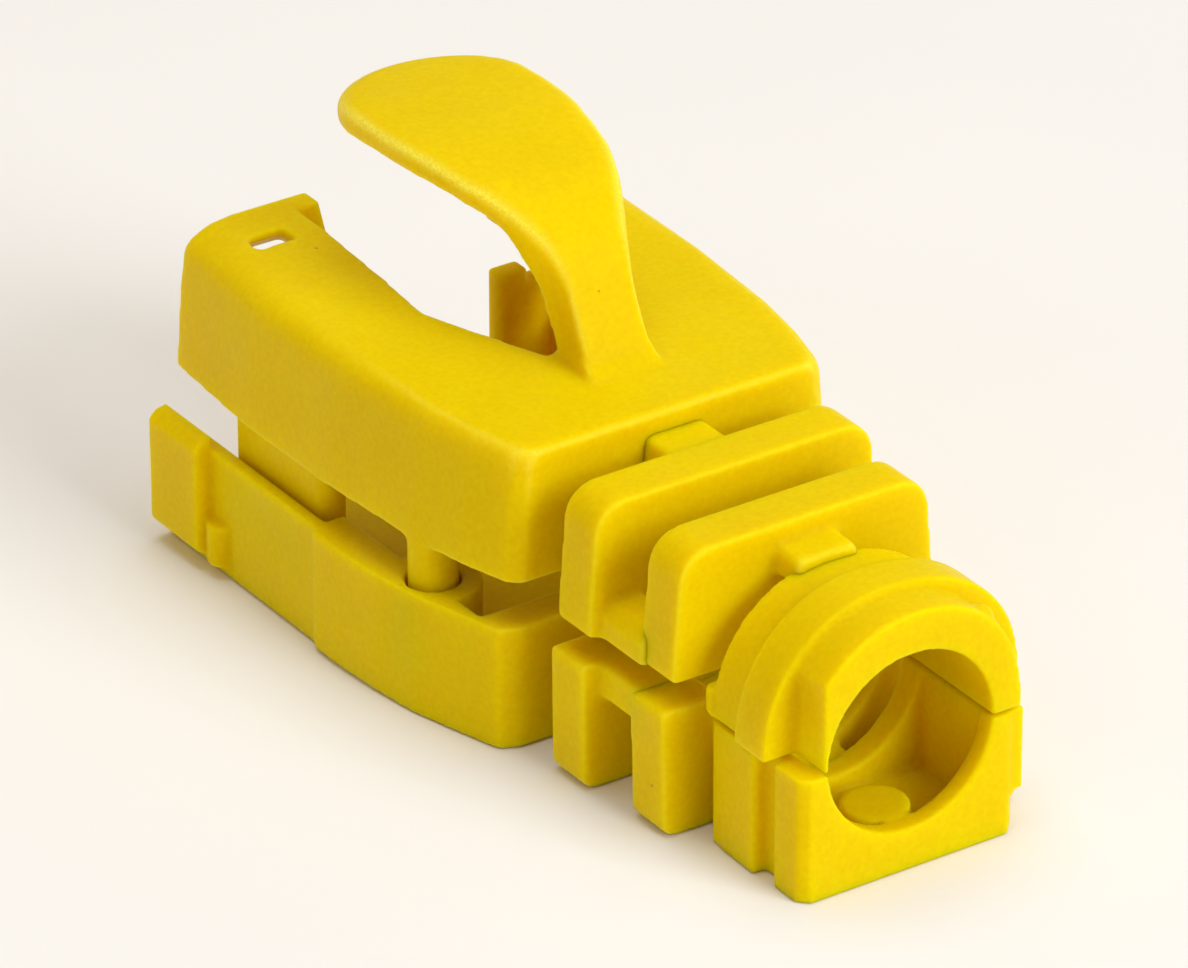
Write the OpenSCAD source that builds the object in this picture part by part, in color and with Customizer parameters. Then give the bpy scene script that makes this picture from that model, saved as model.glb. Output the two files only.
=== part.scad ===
// Snap-together bend-relief boot for an eight-way modular plug.
// Two moulded halves: the lower one is a cradle, the upper one is a hood with a latch guard.
// +Y points at the plug end, +Z is up, and the boot stands on z = 0 with its length centred.

/* [Head] */
// Length of the plug head
head_len = 17.1; // [16:0.1:19]
// Height of the hood's top face at its rear
hood_top_z = 9.65; // [9.4:0.05:9.9]
// Rise of the hood's top face from its rear to its front
hood_rise = 0.35; // [0:0.05:0.5]
// Height of the hood's lower edge
hood_low_z = 5.4; // [5:0.1:5.8]
// Half width of the hood at its lower edge
hood_half = 6.8; // [6.6:0.05:7]
// Lean of the hood's sides, in degrees
hood_draft = 4; // [1:1:6]
// Radius along the hood's upper side edges
hood_edge_r = 0.8; // [0.6:0.1:1]
// Thickness of the hood's roof
roof_t = 1.0; // [0.8:0.1:1.2]
// Thickness of both end walls behind the plug
end_wall = 1.3; // [1:0.1:1.6]
// Half width of the space for the plug
cavity_half = 5.95; // [5.9:0.05:6.05]
// Height of the cradle floor
floor_t = 1.0; // [0.8:0.1:1.2]

/* [Latch slot and guard] */
// Half width of the slot over the plug's latch
slot_half = 2.95; // [2.7:0.05:3.1]
// Where the slot starts to narrow, from the head's rear face
slot_full_y = 8.8; // [8.5:0.1:10]
// Where the slot ends, from the head's rear face
slot_end_y = 4.3; // [4:0.1:5]
// Height of the guard's highest line
guard_z = 14.92; // [14.5:0.01:15.3]
// Thickness of the guard's paddle
guard_t = 0.95; // [0.8:0.05:1.1]
// Thickness of the guard's stem
stem_t = 1.2; // [1.1:0.05:1.4]
// Half width of the paddle
paddle_half = 2.95; // [2.8:0.05:3.2]
// Half width of the stem
stem_half = 1.15; // [1.05:0.05:1.2]

/* [Cradle] */
// Height of the cradle's thick walls
cradle_z = 4.0; // [3.8:0.1:4.1]
// Half width over the cradle's thin walls
thin_half = 7.1; // [7:0.05:7.15]
// Inner half width of the cradle's thin walls
thin_in_half = 6.6; // [6.55:0.05:6.65]
// Half width over the front tabs
tab_half = 7.65; // [7.5:0.05:7.7]
// Height of the front tabs
tab_z = 4.35; // [4.2:0.05:4.4]

/* [Bend relief] */
// Thickness of each rib
rib_t = 1.7; // [1.6:0.05:1.8]
// Gap from the head to the front rib
front_gap = 1.4; // [1.2:0.05:1.5]
// Gap between the two ribs
mid_gap = 1.8; // [1.7:0.05:2]
// Gap from the rear rib to the collar
rear_gap = 0.8; // [0.75:0.05:0.9]
// Radius of the way for the cable
cable_r = 2.85; // [2.8:0.05:3]
// Height of the cable's centre line
cable_z = 4.2; // [4.1:0.05:4.3]
// Lower edge of the upper ribs
rib_seam_hi = 4.95; // [4.9:0.05:5]
// Top edge of the lower ribs
rib_seam_lo = 4.15; // [4.1:0.05:4.2]

/* [Collar] */
// Length of the collar along the cable
collar_len = 4.45; // [4.3:0.05:4.6]
// Half width of the collar
collar_half = 3.9; // [3.8:0.05:3.95]
// Height of the collar's arch
collar_z = 8.5; // [8.4:0.05:8.6]

/* [Hidden] */
$fn = 48;
yellow = [0.92, 0.82, 0.03];
eps = 0.01;

// Stations along the boot, measured back from the head's rear face.
rib1_y1 = -front_gap;
rib1_y0 = rib1_y1 - rib_t;
rib2_y1 = rib1_y0 - mid_gap;
rib2_y0 = rib2_y1 - rib_t;
collar_y1 = rib2_y0 - rear_gap;
collar_y0 = collar_y1 - collar_len;
// The head's rear face in the frame, which centres the whole length.
head_y = -(head_len + collar_y0) / 2;

// Points of an arc from angle a0 to a1.
function arc(cx, cy, r, a0, a1, n = 8) =
    [for (i = [0:n]) [cx + r * cos(a0 + (a1 - a0) * i / n), cy + r * sin(a0 + (a1 - a0) * i / n)]];
// The mirror image of an outline across its second axis, in reverse order.
function flip(pts) = [for (i = [len(pts) - 1:-1:0]) [-pts[i][0], pts[i][1]]];
// A closed outline from its right-hand half.
function both(half) = concat(half, flip(half));
// Right half of a drafted block: half widths w0 below and w1 above, rounded below by r0, above by r1.
function drafted(w0, z0, w1, z1, r0, r1) = concat(
    r0 > 0 ? arc(w0 - r0, z0 + r0, r0, -90, 0) : [[w0, z0]],
    r1 > 0 ? arc(w1 - r1, z1 - r1, r1, 0, 90) : [[w1, z1]]);

module in_frame() { color(yellow) translate([0, head_y, 0]) children(); }
// An X-Z outline carried along Y from y0 to y1.
module along_y(pts, y0, y1) {
    translate([0, y1, 0]) rotate([90, 0, 0]) linear_extrude(y1 - y0) polygon(pts);
}
// An X-Y outline carried up from z0 to z1.
module up_z(pts, z0, z1) { translate([0, 0, z0]) linear_extrude(z1 - z0) polygon(pts); }
// A Y-Z outline carried along X from x0 to x1.
module along_x(pts, x0, x1) {
    translate([x0, 0, 0]) rotate([90, 0, 90]) linear_extrude(x1 - x0) polygon(pts);
}
module box(x0, x1, y0, y1, z0, z1) { translate([x0, y0, z0]) cube([x1 - x0, y1 - y0, z1 - z0]); }
module both_sides() { children(); mirror([1, 0, 0]) children(); }
module rod_y(r, y0, y1, z) { translate([0, y1, z]) rotate([90, 0, 0]) cylinder(r = r, h = y1 - y0); }
module cable_way(y0, y1) { rod_y(cable_r, y0 - 1, y1 + 1, cable_z); }

// ---- Upper half: the hood ----

hood_plan = [[5.3, 0], [5.7, 0.4], [6.15, 2], [6.5, 4], [hood_half, 8], [hood_half + 0.05, 12.5],
    [hood_half - 0.3, head_len]];
hood_wall = 0.6;
cavity_top = hood_top_z - roof_t;
hood_room = both([[cavity_half, 0], [cavity_half, 7.3], [5.2, cavity_top]]);
slot_front_half = slot_half - 0.35;
slot_left = [[stem_half, slot_end_y], [2.38, 7.15], [slot_half, slot_full_y], [slot_half - 0.05, 9.4],
    [slot_front_half, 14.1], [slot_front_half, head_len + 1]];
slot_right = [[stem_half, slot_end_y], [2.38, 7.15], [slot_half, slot_full_y], [slot_half + 0.15, 9.4],
    [slot_half + 0.15, head_len + 1]];
slot_plan = concat(slot_right, flip(slot_left));
tip_hole_x0 = 3.62;
tip_hole_x1 = 4.87;
tip_hole_y0 = 14.71;
tip_hole_y1 = 15.48;

// A prism whose right-hand side is the outline, leaning in by an angle above height z.
module leaning_side(half, z, angle) {
    far = -30;
    c = cos(angle);
    outline = concat([[far, half[0][1]]], [for (p = half) [p[0] * c, p[1]]], [[far, half[len(half) - 1][1]]]);
    translate([0, 0, z]) rotate([0, -angle, 0]) translate([0, 0, far]) linear_extrude(-2 * far) polygon(outline);
}
// A block from a half outline in plan, with both sides leaning in by an angle above height z.
module leaning_block(half, z, angle) {
    intersection() {
        leaning_side(half, z, angle);
        mirror([1, 0, 0]) leaning_side(half, z, angle);
    }
}

// Height of the roof's top face at a distance from the head's rear face.
function roof_z(y) = hood_top_z + hood_rise * y / head_len;

// Hole in each front corner of the roof, widened below its thin edge towards the front and the slot.
module tip_hole() {
    top = roof_z(tip_hole_y1);
    low = cavity_top - 1;
    intersection() {
        along_x([[tip_hole_y0, low], [tip_hole_y0, top + 1], [tip_hole_y1, top + 1],
            [tip_hole_y1, top - 0.25], [head_len, top - 1.35], [head_len + 1, low]], 0, cavity_half);
        along_y([[tip_hole_x1, low], [tip_hole_x1, top + 1], [tip_hole_x0, top + 1],
            [tip_hole_x0, top - 0.35], [slot_half - 0.25, top - 1.35], [slot_half - 0.25, low]], 0, head_len + 1);
    }
}

// Space inside the hood, which narrows behind the plug with the hood's sides.
module hood_space() {
    intersection() {
        along_y(hood_room, end_wall, head_len + 1);
        leaning_block(concat([for (p = hood_plan) [p[0] - hood_wall, p[1]]],
            [[hood_half - hood_wall, head_len + 2]]), hood_low_z, hood_draft);
    }
}

// The hood's outer block, with its upper side edges rounded in flats.
module hood_block() {
    edge_z = roof_z(head_len / 2) - hood_edge_r;
    edge_plan = [for (p = hood_plan) [p[0] - (edge_z - hood_low_z) * tan(hood_draft), p[1]]];
    intersection() {
        along_x([[0, hood_low_z], [head_len, hood_low_z], [head_len, roof_z(head_len)], [0, roof_z(0)]], -8, 8);
        leaning_block(hood_plan, hood_low_z, hood_draft);
        leaning_block(edge_plan, edge_z + hood_edge_r * tan(12), 24);
        leaning_block(edge_plan, edge_z + hood_edge_r * tan(23), 46);
        leaning_block(edge_plan, edge_z + hood_edge_r * tan(34), 68);
    }
}

module upper_hood() {
    in_frame() difference() {
        hood_block();
        hood_space();
        up_z(slot_plan, hood_low_z, hood_top_z + 2);
        both_sides() tip_hole();
        cable_way(0, end_wall);
    }
}

// Side tongues that hang from the hood inside the cradle's thin walls.
tongue_y0 = 8.9;
tongue_y1 = 13.8;
tongue_half = 6.45;
tongue_low_z = 2.2;

module tongue() {
    box(cavity_half, tongue_half, tongue_y0 + 0.5, tongue_y1, tongue_low_z, hood_low_z);
    // Thick rear edge of the tongue
    translate([tongue_half - 0.5, tongue_y0 + 0.5, tongue_low_z])
        cylinder(r = 0.5, h = hood_low_z - tongue_low_z);
}

module upper_tongue_left() { in_frame() mirror([1, 0, 0]) tongue(); }
module upper_tongue_right() { in_frame() tongue(); }

// Hook at the front of the slot's left edge, turned in over the plug's latch.
hook_half = 1.78;

module latch_hook() {
    top = roof_z(head_len);
    in_frame() mirror([1, 0, 0]) along_x([[16.3, top - 0.02], [15.6, top - 1.5], [16.4, top - 1.5],
        [head_len, top - 0.6], [head_len, top]], hook_half, slot_front_half);
}

// Pins under the hood that locate it in the cradle's bosses.
pin_x = 5.8;
pin_y = 4.0;
pin_r = 0.75;
pin_tip_z = 2.4;

module locating_pins() {
    in_frame() both_sides() {
        translate([pin_x, pin_y, pin_tip_z]) cylinder(r = pin_r, h = hood_low_z - pin_tip_z);
        // Upper part of the pin, inside the hood
        intersection() {
            translate([pin_x, pin_y, hood_low_z]) cylinder(r = pin_r, h = hood_top_z - hood_low_z);
            hood_space();
            box(0, cavity_half, 0, head_len, hood_low_z, hood_top_z);
        }
    }
}

// ---- Latch guard ----

// Side view: a leaning stem, a tight bend and a long, slightly domed paddle.
bend_y = 7.69;
bend_r = 4.31;
bend_z = guard_z - 4.57;
dome_y = 10.5;
dome_r = 22;
dome_z = guard_z - dome_r;
foot_z = hood_top_z + 0.45;
foot_y = 2.8;
guard_top = concat([[foot_y, foot_z]], arc(bend_y, bend_z, bend_r, 160, 100, 16),
    arc(dome_y, dome_z, dome_r, 96, 76, 12));
guard_under = concat(arc(dome_y, dome_z, dome_r - guard_t, 75.5, 97, 12),
    arc(bend_y, bend_z, bend_r - guard_t, 106, 122, 6), arc(bend_y, bend_z, bend_r - stem_t, 140, 160, 6),
    [[foot_y + stem_t + 0.3, foot_z]]);
tip_y = 12.3;
tip_len = 3.2;
guard_plan = both(concat([[stem_half, 2], [stem_half, 3.9], [1.4, 4.55], [1.7, 5.1], [2.15, 5.95], [2.65, 7.25],
    [paddle_half - 0.1, 8.4], [paddle_half, 10]],
    [for (a = [0:6:90]) [paddle_half * cos(a), tip_y + tip_len * sin(a)]]));

module latch_guard() {
    in_frame() intersection() {
        along_x(concat(guard_top, guard_under), -paddle_half - 1, paddle_half + 1);
        up_z(guard_plan, foot_z, guard_z + 1);
    }
}

// Thin root that the guard bends on.
module guard_flexure() {
    in_frame() along_x([[2.3, roof_z(2.3)], [4.6, roof_z(4.6)], [foot_y + stem_t + 0.3, foot_z], [foot_y, foot_z]],
        -stem_half - 0.1, stem_half + 0.1);
}

// ---- Lower half: the cradle ----

thick_y = 8.3;
cradle_len = head_len - 0.2;
cradle_plan = both([[5.3, 0], [6.0, 0.3], [6.5, 2.0], [6.9, 3.5], [7.15, 5.2], [7.3, 7.2], [7.3, thick_y],
    [thin_half, thick_y + 0.1], [thin_half, cradle_len]]);
cradle_section = both(drafted(tab_half, 0, tab_half, cradle_z + 0.1, 0.6, 0));

module lower_cradle() {
    in_frame() difference() {
        intersection() {
            up_z(cradle_plan, 0, cradle_z);
            along_y(cradle_section, 0, head_len);
        }
        // Space for the plug
        box(-cavity_half, cavity_half, end_wall, head_len, floor_t, cradle_z + 1);
        // Room for the hood's tongues inside the thin walls
        both_sides() box(cavity_half - eps, thin_in_half, tongue_y0 - 0.3, head_len, floor_t + 0.6, cradle_z + 1);
        // Sockets for the hood's locating pins
        both_sides() translate([pin_x, pin_y, floor_t]) cylinder(r = boss_r, h = cradle_z);
        cable_way(0, end_wall);
    }
}

// Boss rings round the pin sockets.
boss_r = 1.45;
boss_bore_r = 0.85;

module pin_bosses() {
    in_frame() both_sides() intersection() {
        up_z(cradle_plan, floor_t, cradle_z);
        difference() {
            translate([pin_x, pin_y, floor_t]) cylinder(r = boss_r, h = cradle_z - floor_t);
            translate([pin_x, pin_y, floor_t + 0.4]) cylinder(r = boss_bore_r, h = cradle_z);
        }
    }
}

tab_y0 = 14.2;
tab_y1 = cradle_len;

module lower_front_tabs() {
    in_frame() both_sides() along_y([[thin_half, 0.3], [tab_half, 0.7], [tab_half, tab_z - 0.25],
        [tab_half - 0.25, tab_z], [thin_half - 0.1, tab_z + 0.1], [thin_half - 0.1, cradle_z],
        [thin_half, cradle_z]], tab_y0, tab_y1);
}

// Upright half-round bumps behind the foot of each front tab.
bump_r = 0.45;
bump_z = 1.75;

module grip_bumps() {
    in_frame() both_sides() intersection() {
        translate([thin_half - 0.02, tab_y0 - bump_r - 0.02, 0.35]) cylinder(r = bump_r, h = bump_z - 0.35);
        box(thin_half, thin_half + 1, 0, head_len, 0, bump_z);
    }
}

// Post in the right-hand front corner that keys into the plug's side notch.
post_x0 = 4.6;
post_x1 = 5.65;
post_y0 = 16.2;
post_z = 5.6;

module guide_post() {
    in_frame() {
        up_z(concat(arc(post_x0 + 0.25, post_y0 + 0.25, 0.25, 180, 270, 4),
            [[post_x1, post_y0], [post_x1, cradle_len], [post_x0, cradle_len]]), floor_t, post_z);
        // Foot of the post, which joins it to the thin wall below the hood's edge
        box(post_x1 - eps, cavity_half, post_y0, cradle_len, floor_t, hood_low_z - 0.3);
        box(cavity_half - eps, thin_in_half, post_y0, cradle_len, floor_t + 0.6, hood_low_z - 0.3);
    }
}

// ---- Ribs ----

module upper_rib(y0, y1, low_half, top_half, top_z) {
    difference() {
        along_y(both(drafted(low_half, rib_seam_hi, top_half, top_z, 0.25, 1.05)), y0, y1);
        cable_way(y0, y1);
    }
}

module lower_rib(y0, y1, half) {
    difference() {
        along_y(both(drafted(half - 0.05, 0, half, rib_seam_lo, 0.5, 0.15)), y0, y1);
        cable_way(y0, y1);
    }
}

module upper_rib_front() { in_frame() upper_rib(rib1_y0, rib1_y1, 5.1, 4.87, 9.2); }
module upper_rib_rear() { in_frame() upper_rib(rib2_y0, rib2_y1, 4.6, 4.35, 9.1); }
module lower_rib_front() { in_frame() lower_rib(rib1_y0, rib1_y1, 5.35); }
module lower_rib_rear() { in_frame() lower_rib(rib2_y0, rib2_y1, 4.95); }

// ---- Living hinges ----

spine_half = 1.05;

module upper_spine_front() {
    in_frame() along_y(both(drafted(spine_half + 0.1, 7.7, spine_half, 9.0, 0, 0.25)), rib1_y1, 0);
}
module upper_spine_rear() {
    in_frame() along_y(both(drafted(spine_half + 0.1, 7.6, spine_half, 8.45, 0, 0.25)), collar_y1, rib2_y0);
}
module lower_spine_front() {
    in_frame() along_y(both(drafted(spine_half, 0.1, spine_half + 0.1, 1.3, 0.25, 0)), rib1_y1, 0);
}
module lower_spine_rear() {
    in_frame() along_y(both(drafted(spine_half, 0.1, spine_half + 0.1, 1.3, 0.25, 0)), collar_y1, rib2_y0);
}
module upper_side_webs() {
    in_frame() both_sides() along_y([[3.3, rib_seam_hi], [4.75, rib_seam_hi], [4.75, 5.7], [4.35, 6.1],
        [3.3, 6.1]], rib2_y1, rib1_y0);
}
module lower_side_webs() {
    in_frame() both_sides() along_y([[3.3, 2.9], [4.5, 2.9], [4.8, 3.2], [4.8, rib_seam_lo],
        [3.3, rib_seam_lo]], rib2_y1, rib1_y0);
}

// ---- Collar ----

mouth_half = 3.75;
// Height of the seam between the halves
collar_seam = 4.1;
arch_z = 4.3;
// Half width of the raised ring on its thick right-hand side
thick_side = 4.8;
// Front and rear edges of the raised ring over the arch
arch_ring_y1 = collar_y1 - 1.5;
arch_ring_y0 = collar_y1 - 3.0;
// Rear edge of the lower half's ring, and front face of its corner posts
ring_y0 = collar_y1 - 2.2;
post_y1 = ring_y0 - 0.8;
// Half width and floor height of the pocket, and the thickness of its end walls
pocket_half = 2.9;
pocket_z = 0.8;
front_wall = 0.9;
rear_wall = 0.7;

// An arch over the cable way with its own half width at the left and at the right.
function arch(left, right, r) = concat([[right, collar_seam]],
    [for (a = [0:6:90]) [right * pow(cos(a), 0.9), arch_z + r * pow(sin(a), 0.9)]],
    [for (a = [96:6:180]) [left * cos(a), arch_z + r * sin(a)]], [[-left, collar_seam]]);

module upper_collar() {
    in_frame() difference() {
        union() {
            along_y(arch(3.8, 4.3, collar_z - arch_z - 0.35), arch_ring_y1, collar_y1);
            along_y(arch(4.1, thick_side, collar_z - arch_z), arch_ring_y0, arch_ring_y1);
            along_y(arch(3.9, 3.85, collar_z - arch_z - 0.15), collar_y0, arch_ring_y0);
        }
        cable_way(collar_y0, collar_y1);
        // The rear plate is cut off upright at its left end
        box(-6, -3.0, collar_y0 - 1, arch_ring_y0, 0, 10);
    }
}

lower_plan = [[mouth_half - 0.3, collar_y0], [mouth_half, collar_y0 + 0.3], [mouth_half, arch_ring_y0],
    [thick_side, arch_ring_y0], [thick_side, arch_ring_y1], [collar_half, arch_ring_y1],
    [collar_half - 0.1, collar_y1], [-collar_half + 0.1, collar_y1], [-collar_half, ring_y0],
    [-mouth_half + 0.3, ring_y0], [-mouth_half + 0.3, post_y1 + 0.1], [-mouth_half, post_y1],
    [-mouth_half, collar_y0 + 0.3], [-mouth_half + 0.3, collar_y0]];

module lower_collar() {
    in_frame() difference() {
        union() {
            intersection() {
                up_z(lower_plan, 0, collar_seam - 0.1);
                along_y(both(drafted(thick_side, 0, thick_side, 5, 0.4, 0)), collar_y0, collar_y1);
            }
            // Raised band on the right-hand side of the rear plate
            box(mouth_half - 0.1, mouth_half + 0.25, collar_y0 + 0.1, arch_ring_y0, 1.3, collar_seam - 0.1);
        }
        cable_way(collar_y0, collar_y1);
        // Pocket between the end walls of the cable way
        box(-pocket_half, pocket_half, collar_y0 + rear_wall, collar_y1 - front_wall, pocket_z, 5);
    }
}

// Round pad on the floor of the pocket.
pad_r = 1.03;

module cable_pad() {
    in_frame() translate([0, collar_y0 + rear_wall + pad_r + 0.02, pocket_z]) cylinder(r = pad_r, h = 0.6);
}

// Small lugs on the collar's front face, at its corners.
lug_x = 3.4;
lug_r = 0.5;

module collar_lugs() {
    in_frame() both_sides() intersection() {
        translate([lug_x, collar_y1, collar_seam + 0.1]) cylinder(r = lug_r, h = 0.8);
        box(lug_x - 1, lug_x + 1, collar_y1, collar_y1 + 1, collar_seam, 6);
    }
}

lower_cradle();
lower_front_tabs();
grip_bumps();
pin_bosses();
guide_post();
lower_spine_front();
lower_rib_front();
lower_side_webs();
lower_rib_rear();
lower_spine_rear();
lower_collar();
cable_pad();
upper_hood();
upper_tongue_left();
upper_tongue_right();
latch_hook();
locating_pins();
guard_flexure();
latch_guard();
upper_spine_front();
upper_rib_front();
upper_side_webs();
upper_rib_rear();
upper_spine_rear();
upper_collar();
collar_lugs();
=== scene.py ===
"""Looks of the snap-together plug boot: two yellow mouldings with soft moulded edges.

Lengths are in metres. Z is up, and Y runs from the cable's collar towards the plug.
"""

import bmesh
import bpy
import math
from mathutils import Matrix, Vector


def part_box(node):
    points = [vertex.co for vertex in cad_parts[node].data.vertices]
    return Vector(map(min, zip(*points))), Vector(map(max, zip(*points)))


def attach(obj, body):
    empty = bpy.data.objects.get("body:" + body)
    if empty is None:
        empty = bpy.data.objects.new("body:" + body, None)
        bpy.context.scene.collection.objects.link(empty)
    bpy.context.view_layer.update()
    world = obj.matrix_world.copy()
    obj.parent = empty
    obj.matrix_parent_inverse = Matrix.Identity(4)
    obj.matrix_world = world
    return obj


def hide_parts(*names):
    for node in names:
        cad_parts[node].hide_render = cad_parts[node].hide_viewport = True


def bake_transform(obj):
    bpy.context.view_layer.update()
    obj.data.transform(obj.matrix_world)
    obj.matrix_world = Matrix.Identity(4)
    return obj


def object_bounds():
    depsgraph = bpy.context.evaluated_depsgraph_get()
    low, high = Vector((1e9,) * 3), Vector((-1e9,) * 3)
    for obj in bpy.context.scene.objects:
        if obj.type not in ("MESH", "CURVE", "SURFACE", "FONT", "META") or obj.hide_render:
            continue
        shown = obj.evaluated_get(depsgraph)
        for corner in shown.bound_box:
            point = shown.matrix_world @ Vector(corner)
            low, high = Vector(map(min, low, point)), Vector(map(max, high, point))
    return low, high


MM = 0.001
# The meshes are made a hundred times larger, so that a voxel can be under a tenth of a millimetre.
ENLARGE = 100.0
VOXEL_MM = 0.085
# Share of the faces that are kept once the edges are round
FACES_KEPT = 0.5
# Name of the points' value for how much an edge was rounded there, in millimetres, which also masks
# the painted edge highlight
EDGE = "edge_rounding"

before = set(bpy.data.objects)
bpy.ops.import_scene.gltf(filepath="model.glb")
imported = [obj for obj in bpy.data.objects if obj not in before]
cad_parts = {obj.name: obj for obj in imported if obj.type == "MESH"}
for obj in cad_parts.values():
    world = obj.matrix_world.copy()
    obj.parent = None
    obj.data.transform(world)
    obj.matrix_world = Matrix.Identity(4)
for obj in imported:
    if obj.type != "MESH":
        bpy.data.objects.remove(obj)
cad_low, cad_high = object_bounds()

# ---------------------------------------------------------------- material

# Colours are linear red, green and blue.
PIGMENT = [(0.3, (0.75, 0.548, 0.0002)), (0.7, (0.79, 0.592, 0.0004))]
MOTTLE = [(0.25, (0.68, 0.44, 0.0002)), (0.75, (0.92, 0.73, 0.002))]
MOTTLE_SHARE = 0.22
# Colour of the painted highlight on the rounded edges
PAINTED_EDGE_HIGHLIGHT = (0.93, 0.86, 0.16)
DARK_SPECK = (0.30, 0.17, 0.004)
SPECK_SHARE = 0.55
FLOOR_COLOURS = [(0.3, (0.89, 0.88, 0.86)), (0.7, (0.91, 0.90, 0.88))]

# Texture scales, in cells per metre
PIGMENT_SCALE = 260
MOTTLE_SCALE = 5200
GRAIN_SCALE = 15000
SPECK_SCALE = 620
SHEEN_SCALE = 900
FINE_BUMP_SCALE = 6500
SLOW_BUMP_SCALE = 420
FLOOR_SCALE = 40


def link(tree, a, b):
    tree.links.new(a, b)


def noise(tree, coords, scale, detail=2.0, roughness=0.5):
    """Cloudy noise around 0.5."""
    node = tree.nodes.new("ShaderNodeTexNoise")
    node.inputs["Scale"].default_value = scale
    node.inputs["Detail"].default_value = detail
    node.inputs["Roughness"].default_value = roughness
    link(tree, coords, node.inputs["Vector"])
    return node.outputs["Fac"]


def ramp(tree, fac, stops):
    """A colour ramp. Each stop is its place and its colour."""
    node = tree.nodes.new("ShaderNodeValToRGB")
    while len(node.color_ramp.elements) < len(stops):
        node.color_ramp.elements.new(0.5)
    for element, (place, colour) in zip(node.color_ramp.elements, stops):
        element.position = place
        element.color = (*colour, 1)
    link(tree, fac, node.inputs["Fac"])
    return node.outputs["Color"]


def mix(tree, fac, a, b):
    """Colour a with the share fac of b. fac is a number or a socket, and b a colour or a socket."""
    node = tree.nodes.new("ShaderNodeMix")
    node.data_type = "RGBA"
    if isinstance(fac, float):
        node.inputs["Factor"].default_value = fac
    else:
        link(tree, fac, node.inputs["Factor"])
    link(tree, a, node.inputs[6])
    if isinstance(b, tuple):
        node.inputs[7].default_value = (*b, 1)
    else:
        link(tree, b, node.inputs[7])
    return node.outputs[2]


def maths(tree, operation, a, b):
    """One operation of arithmetic on two values, each a number or a socket."""
    node = tree.nodes.new("ShaderNodeMath")
    node.operation = operation
    for socket, value in zip(node.inputs, (a, b)):
        if isinstance(value, (int, float)):
            socket.default_value = value
        else:
            link(tree, value, socket)
    return node.outputs[0]


def mapped(tree, value, start, end, low=0.0, high=1.0):
    """The range from start to end turned into the range from low to high."""
    node = tree.nodes.new("ShaderNodeMapRange")
    node.inputs["From Min"].default_value = start
    node.inputs["From Max"].default_value = end
    node.inputs["To Min"].default_value = low
    node.inputs["To Max"].default_value = high
    link(tree, value, node.inputs["Value"])
    return node.outputs[0]


def bump(tree, height, strength, distance):
    node = tree.nodes.new("ShaderNodeBump")
    node.inputs["Strength"].default_value = strength
    node.inputs["Distance"].default_value = distance
    link(tree, height, node.inputs["Height"])
    return node


def yellow_plastic():
    """Satin yellow plastic, translucent, with a fine grain, a few dark specks and a painted
    highlight of paler edges.
    """
    material = bpy.data.materials.new("yellow_plastic_moulded")
    material.use_nodes = True
    tree = material.node_tree
    shader = tree.nodes["Principled BSDF"]
    coords = tree.nodes.new("ShaderNodeTexCoord").outputs["Object"]

    # Slow drift of the pigment, then the fine mottle of the resin
    drift = ramp(tree, noise(tree, coords, PIGMENT_SCALE, 3), PIGMENT)
    mottle = ramp(tree, noise(tree, coords, MOTTLE_SCALE, 2), MOTTLE)
    colour = mix(tree, MOTTLE_SHARE, drift, mottle)

    # Painted highlight: the rounded edges are paler, in small sparkling grains
    rounding = tree.nodes.new("ShaderNodeAttribute")
    rounding.attribute_name = EDGE
    highlight_mask = mapped(tree, rounding.outputs["Fac"], 0.02, 0.15)
    grains = mapped(tree, noise(tree, coords, GRAIN_SCALE, 1), 0.35, 0.65, 0.20, 0.65)
    colour = mix(tree, maths(tree, "MULTIPLY", highlight_mask, grains), colour, PAINTED_EDGE_HIGHLIGHT)

    # A few dark specks, each about a tenth of a millimetre wide
    cells = tree.nodes.new("ShaderNodeTexVoronoi")
    cells.inputs["Scale"].default_value = SPECK_SCALE
    link(tree, coords, cells.inputs["Vector"])
    near = maths(tree, "LESS_THAN", cells.outputs["Distance"], 0.035)
    pick = tree.nodes.new("ShaderNodeSeparateColor")
    link(tree, cells.outputs["Color"], pick.inputs[0])
    some = maths(tree, "GREATER_THAN", pick.outputs[0], 0.72)
    speck = maths(tree, "MULTIPLY", maths(tree, "MULTIPLY", near, some), SPECK_SHARE)
    colour = mix(tree, speck, colour, DARK_SPECK)
    link(tree, colour, shader.inputs["Base Color"])

    rough = mapped(tree, noise(tree, coords, SHEEN_SCALE, 3), 0.3, 0.7, 0.36, 0.50)
    link(tree, rough, shader.inputs["Roughness"])

    # Fine eroded mould texture, over slow unevenness from sinking walls
    fine = bump(tree, noise(tree, coords, FINE_BUMP_SCALE, 3, 0.6), 0.22, 0.02 * MM)
    slow = bump(tree, noise(tree, coords, SLOW_BUMP_SCALE, 1), 0.2, 0.10 * MM)
    link(tree, slow.outputs[0], fine.inputs["Normal"])
    link(tree, fine.outputs[0], shader.inputs["Normal"])

    shader.inputs["IOR"].default_value = 1.49
    shader.inputs["Specular IOR Level"].default_value = 0.07
    shader.inputs["Specular Tint"].default_value = (1.0, 0.95, 0.35, 1)
    shader.inputs["Subsurface Weight"].default_value = 1.0
    shader.inputs["Subsurface Radius"].default_value = (1.0, 0.66, 0.05)
    shader.inputs["Subsurface Scale"].default_value = 1.1 * MM
    return material


def pale_floor():
    """A plain matt floor, a little uneven in tone."""
    material = bpy.data.materials.new("pale_floor")
    material.use_nodes = True
    tree = material.node_tree
    shader = tree.nodes["Principled BSDF"]
    coords = tree.nodes.new("ShaderNodeTexCoord").outputs["Object"]
    colour = ramp(tree, noise(tree, coords, FLOOR_SCALE, 2), FLOOR_COLOURS)
    link(tree, colour, shader.inputs["Base Color"])
    shader.inputs["Roughness"].default_value = 0.9
    return material


plastic = yellow_plastic()

# ---------------------------------------------------------------- moulded pieces


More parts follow.
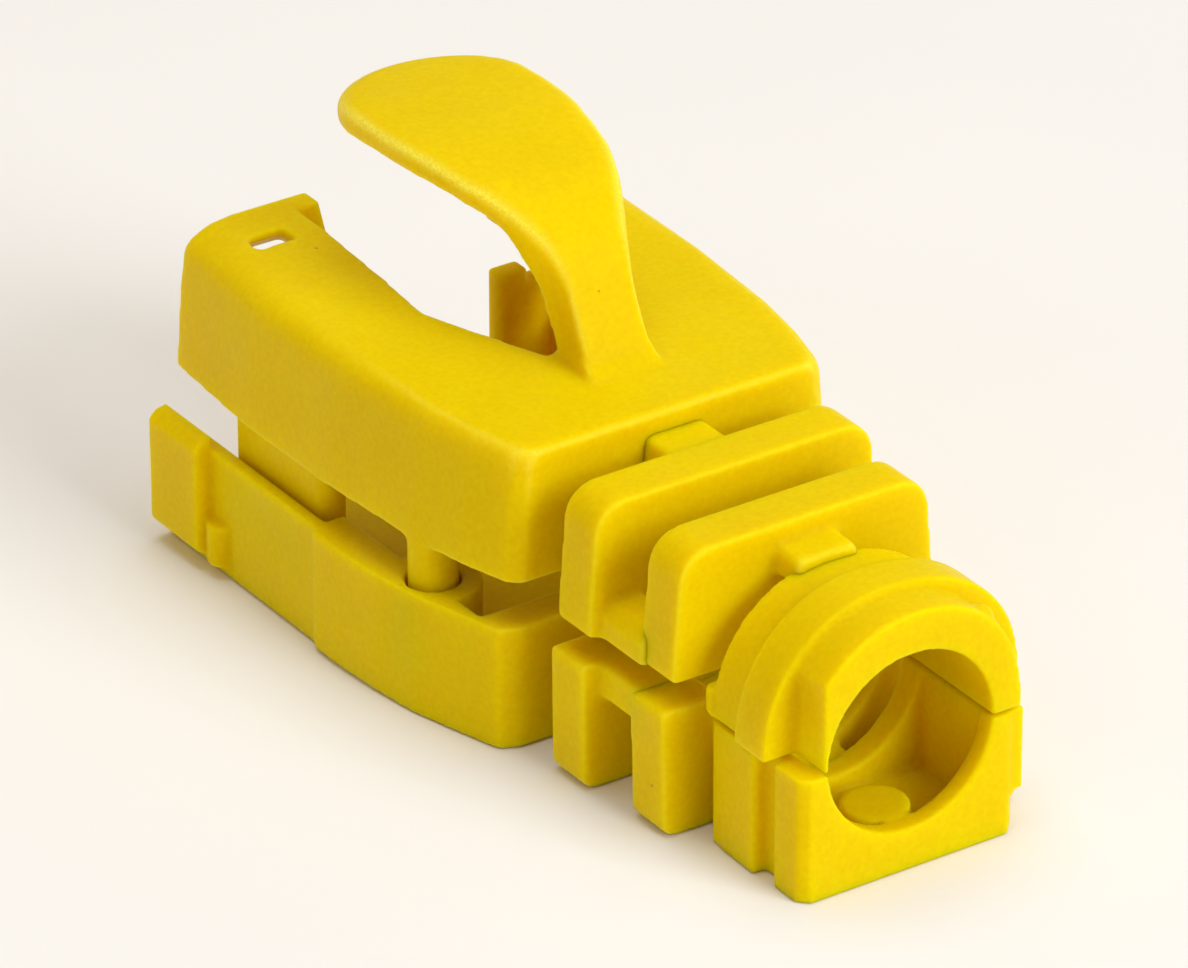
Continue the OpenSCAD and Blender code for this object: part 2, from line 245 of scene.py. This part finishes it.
def applied(obj, kind, **values):
    """Adds a modifier with these values and applies it."""
    modifier = obj.modifiers.new(kind.lower(), kind)
    for key, value in values.items():
        setattr(modifier, key, value)
    graph = bpy.context.evaluated_depsgraph_get()
    made = bpy.data.meshes.new_from_object(obj.evaluated_get(graph))
    obj.modifiers.clear()
    old = obj.data
    obj.data = made
    bpy.data.meshes.remove(old)


def soften(obj, passes, weight=None):
    """Rounds the edges by smoothing.

    weight gives each point's share, from 0 to 1, for its place in metres.
    """
    if weight is None:
        applied(obj, "SMOOTH", factor=0.5, iterations=passes)
        return
    group = obj.vertex_groups.new(name="soft")
    for vertex in obj.data.vertices:
        share = weight(vertex.co / ENLARGE)
        if share > 0:
            group.add([vertex.index], share, "REPLACE")
    applied(obj, "SMOOTH", factor=0.5, iterations=passes, vertex_group="soft")
    obj.vertex_groups.clear()


def moulded(name, nodes, passes, extra=(), local=(), shape=None):
    """One moulding from CAD nodes: joined, remeshed into one skin, with its edges rounded.

    extra adds more solids to the nodes. shape moves each point, given in metres, before the edges
    are rounded. local holds further rounding for parts of the skin, as pairs of passes and weight.
    """
    bm = bmesh.new()
    for node in nodes:
        bm.from_mesh(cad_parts[node].data)
    for add in extra:
        add(bm)
    bmesh.ops.scale(bm, vec=(ENLARGE,) * 3, verts=bm.verts)
    mesh = bpy.data.meshes.new(name)
    bm.to_mesh(mesh)
    bm.free()
    obj = bpy.data.objects.new(name, mesh)
    bpy.context.scene.collection.objects.link(obj)
    applied(obj, "REMESH", mode="VOXEL", voxel_size=VOXEL_MM * MM * ENLARGE, adaptivity=0.0)
    if shape:
        for vertex in obj.data.vertices:
            vertex.co = shape(vertex.co / ENLARGE) * ENLARGE
    before = [vertex.co.copy() for vertex in obj.data.vertices]
    soften(obj, passes)
    for more, weight in local:
        soften(obj, more, weight)
    # How far each point moved inwards: only outer edges and corners did
    rounded = [
        max(0.0, (old - vertex.co).dot(vertex.normal)) / (MM * ENLARGE)
        for old, vertex in zip(before, obj.data.vertices)
    ]
    obj.data.attributes.new(EDGE, "FLOAT", "POINT").data.foreach_set("value", rounded)
    applied(obj, "DECIMATE", ratio=FACES_KEPT)
    obj.data.transform(Matrix.Diagonal((1 / ENLARGE,) * 3 + (1,)))
    obj.data.materials.clear()
    obj.data.materials.append(plastic)
    obj.data.polygons.foreach_set("use_smooth", [True] * len(obj.data.polygons))
    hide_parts(*nodes)
    return obj


def step(value, low, high):
    """0 below low, 1 above high, smooth between."""
    t = min(1.0, max(0.0, (value - low) / (high - low)))
    return t * t * (3 - 2 * t)


# How far a thin hinge is taken into the next section
HINGE_REACH = 0.35 * MM


def reaching(start, end):
    """A shape for pieces whose thin hinge runs along Y from start to end.

    start is where the hinge leaves its own section. Points beyond it are stretched along the
    hinge, so that its end reaches into the next section.
    """
    def shape(point):
        share = min(1.0, max(0.0, (point.y - start) / (end - start)))
        return point + Vector((0, math.copysign(HINGE_REACH, end - start) * share, 0))

    return shape


head_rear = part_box("lower_cradle")[0].y
rib1_low, rib1_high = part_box("lower_rib_front")
rib2_low, rib2_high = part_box("lower_rib_rear")
collar_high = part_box("lower_collar")[1]
LOWER_RIB_PASSES = 14
UPPER_RIB_PASSES = 16


def rear_and_foot(point):
    """The rounded rear and lower edges of the cradle."""
    rear = 1 - step(point.y, head_rear + 0.6 * MM, head_rear + 1.4 * MM)
    return max(rear, 1 - step(point.z, 0.4 * MM, 0.9 * MM))


lower_head = moulded(
    "lower_head_moulding",
    [
        "lower_cradle",
        "lower_front_tabs",
        "grip_bumps",
        "pin_bosses",
        "guide_post",
        "lower_spine_front",
    ],
    passes=5,
    local=[(12, rear_and_foot)],
    shape=reaching(head_rear, rib1_high.y),
)
lower_rib1 = moulded(
    "lower_front_rib_moulding",
    ["lower_rib_front", "lower_side_webs"],
    passes=LOWER_RIB_PASSES,
    shape=reaching(rib1_low.y, rib2_high.y),
)
lower_rib2 = moulded(
    "lower_rear_rib_moulding",
    ["lower_rib_rear", "lower_spine_rear"],
    passes=LOWER_RIB_PASSES,
    shape=reaching(rib2_low.y, collar_high.y),
)
lower_tail = moulded("lower_tail_moulding", ["lower_collar", "cable_pad"], passes=6)

flexure_low, flexure_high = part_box("guard_flexure")
root = (flexure_low + flexure_high) / 2
hood_low, hood_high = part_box("upper_hood")
guard_low, guard_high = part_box("latch_guard")
guard_foot, guard_tip = guard_low.z, guard_high.y


def near_root(point):
    """The flare where the guard grows out of the roof."""
    return 1 - step((point - root).length, 1.2 * MM, 2.4 * MM)


def on_guard(point):
    """The rounded stem and paddle."""
    return step(point.z, guard_foot, guard_foot + 1.5 * MM)


def on_paddle(point):
    """The paddle, whose edges are round through its whole thickness."""
    return step(point.z, guard_foot + 2.2 * MM, guard_foot + 3.6 * MM)


# Centre and outer radius of the guard's bend
bend_y = head_rear + 7.69 * MM
bend_z = cad_high.z - 4.57 * MM
BEND_R = 4.31 * MM
# How far a point of the guard moves outwards, as a share of its depth below the outer face
THINNING = 0.16
# How far the tip is drawn back and raised, and the share by which the paddle is widened
TIP_BACK = 0.24 * MM
TIP_RISE = 0.20 * MM
PADDLE_WIDENED = 0.08


def slimmer_guard(point):
    """Thins the guard from inside, draws its tip back and up, and widens its paddle.

    The widening takes the paddle past the CAD's own, by up to 0.2 mm on each side.
    """
    point = point.copy()
    share = step(point.z, guard_foot + 0.8 * MM, guard_foot + 2.4 * MM)
    if share == 0:
        return point
    ahead = min(1.0, max(0.0, (point.y - bend_y) / (guard_tip - bend_y)))
    if ahead == 0:
        offset = Vector((point.y - bend_y, point.z - bend_z))
        radius = offset.length
        depth = max(0.0, BEND_R - radius)
        scale = (radius + THINNING * depth * share) / radius
        point.y = bend_y + offset.x * scale
        point.z = bend_z + offset.y * scale
        return point
    point.z += THINNING * max(0.0, bend_z + BEND_R - point.z) * (1 - ahead)
    point.y -= TIP_BACK * ahead
    point.z = min(cad_high.z, point.z + TIP_RISE * ahead * ahead)
    point.x *= 1 + PADDLE_WIDENED * step(ahead, 0, 0.4)
    return point


def top_edges(point):
    """The broad rounding along the hood's upper side edges."""
    side = step(abs(point.x), 4.4 * MM, 5.1 * MM)
    return side * step(point.z, 8.0 * MM, 8.8 * MM)


def hood_edges(point):
    """The rounded rear and outer side edges of the hood."""
    rear = 1 - step(point.y, head_rear + 0.5 * MM, head_rear + 1.3 * MM)
    side = step(abs(point.x), 5.0 * MM, 5.7 * MM)
    return max(rear, side) * step(point.z, hood_low.z - 0.3 * MM, hood_low.z + 0.1 * MM)


upper_head = moulded(
    "upper_head_moulding",
    [
        "upper_hood",
        "upper_tongue_left",
        "upper_tongue_right",
        "latch_hook",
        "locating_pins",
        "guard_flexure",
        "latch_guard",
    ],
    passes=10,
    local=[(12, near_root), (40, on_guard), (80, on_paddle), (14, hood_edges), (40, top_edges)],
    shape=slimmer_guard,
)

spine_middle = (head_rear + rib1_high.y) / 2
SPINE_STRETCH = 1.5


def both_ends(point):
    """The separate upper spine, stretched a little into the head and the front rib."""
    stretched = spine_middle + SPINE_STRETCH * (point.y - spine_middle)
    return Vector((point.x, stretched, point.z))


upper_spine = moulded("upper_spine_moulding", ["upper_spine_front"], passes=5, shape=both_ends)
upper_rib1 = moulded(
    "upper_front_rib_moulding",
    ["upper_rib_front", "upper_side_webs"],
    passes=UPPER_RIB_PASSES,
    shape=reaching(rib1_low.y, rib2_high.y),
)
upper_rib2 = moulded(
    "upper_rear_rib_moulding",
    ["upper_rib_rear", "upper_spine_rear"],
    passes=UPPER_RIB_PASSES,
    shape=reaching(rib2_low.y, collar_high.y),
)

GATE_R = 0.42 * MM


def gate_button(bm):
    """The small round gate mark at the collar's rear right shoulder, which the CAD doesn't have."""
    low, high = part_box("upper_collar")
    place = Vector((low.x + 0.76 * (high.x - low.x), low.y + 0.5 * MM, high.z - 1.35 * MM))
    bmesh.ops.create_uvsphere(
        bm, u_segments=24, v_segments=16, radius=GATE_R, matrix=Matrix.Translation(place)
    )


upper_tail = moulded(
    "upper_tail_moulding", ["upper_collar", "collar_lugs"], passes=6, extra=[gate_button]
)

# ---------------------------------------------------------------- motion


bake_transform(lower_head)
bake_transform(lower_rib1)
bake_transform(lower_rib2)
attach(lower_tail, "lower_tail")
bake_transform(upper_head)
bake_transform(upper_spine)
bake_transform(upper_rib1)
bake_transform(upper_rib2)
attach(upper_tail, "upper_tail")

# ---------------------------------------------------------------- stage, light, camera

FLOOR_HALF = 3
FLOOR_BELOW = 0.02 * MM
WORLD_COLOUR = (1.0, 0.84, 0.62, 1)
WORLD_STRENGTH = 0.44
LIGHT_COLOUR = (0.95, 1.0, 1.08)

scene = bpy.context.scene
centre = (cad_low + cad_high) / 2

floor_mesh = bpy.data.meshes.new("floor")
corners = [(x * FLOOR_HALF, y * FLOOR_HALF, 0) for x, y in ((-1, -1), (1, -1), (1, 1), (-1, 1))]
floor_mesh.from_pydata(corners, [], [(0, 1, 2, 3)])
floor = bpy.data.objects.new("floor", floor_mesh)
floor.location.z = cad_low.z - FLOOR_BELOW
floor.data.materials.append(pale_floor())
scene.collection.objects.link(floor)

world = bpy.data.worlds.new("studio")
world.use_nodes = True
background = world.node_tree.nodes["Background"]
background.inputs["Color"].default_value = WORLD_COLOUR
background.inputs["Strength"].default_value = WORLD_STRENGTH
scene.world = world


def softbox(name, place, size, power):
    """A square area light of this size and power in watts, aimed at the middle of the object."""
    light = bpy.data.lights.new(name, "AREA")
    light.color = LIGHT_COLOUR
    light.size = size
    light.energy = power
    obj = bpy.data.objects.new(name, light)
    obj.location = place
    obj.rotation_euler = (centre - Vector(place)).to_track_quat("-Z", "Y").to_euler()
    scene.collection.objects.link(obj)


softbox("key", (0.14, -0.48, 0.30), 0.30, 2.3)
softbox("top", (0.02, 0.05, 0.55), 0.40, 1.2)
softbox("fill", (-0.45, -0.12, 0.20), 0.40, 0.15)

# The camera's direction across and down, its distance, and the point that it is aimed at
AZIMUTH, ELEVATION = math.radians(34.225), math.radians(29.019)
DISTANCE = 269.41 * MM
AIM = Vector((0, -0.25, 5.0)) * MM
SENSOR_MM = 36
LENS_MM = 278.4394
# The optical axis lies a little right of and below the picture's middle, by these slopes.
AXIS_RIGHT, AXIS_BELOW = 0.0037808, 0.0034021

ahead = Vector(
    (
        math.sin(AZIMUTH) * math.cos(ELEVATION),
        math.cos(AZIMUTH) * math.cos(ELEVATION),
        -math.sin(ELEVATION),
    )
)
right = Vector((math.cos(AZIMUTH), -math.sin(AZIMUTH), 0))
up = right.cross(ahead)
place = AIM - ahead * DISTANCE
look = (ahead - right * AXIS_RIGHT + up * AXIS_BELOW).normalized()
side = look.cross(up).normalized()
turn = Matrix((side, side.cross(look), -look)).transposed().to_4x4()
camera = bpy.data.objects.new("camera", bpy.data.cameras.new("camera"))
camera.data.sensor_width = SENSOR_MM
camera.data.lens = LENS_MM
camera.data.clip_start, camera.data.clip_end = 0.02, 20
camera.matrix_world = Matrix.Translation(place) @ turn
scene.collection.objects.link(camera)
scene.camera = camera
scene.view_settings.view_transform = "Standard"
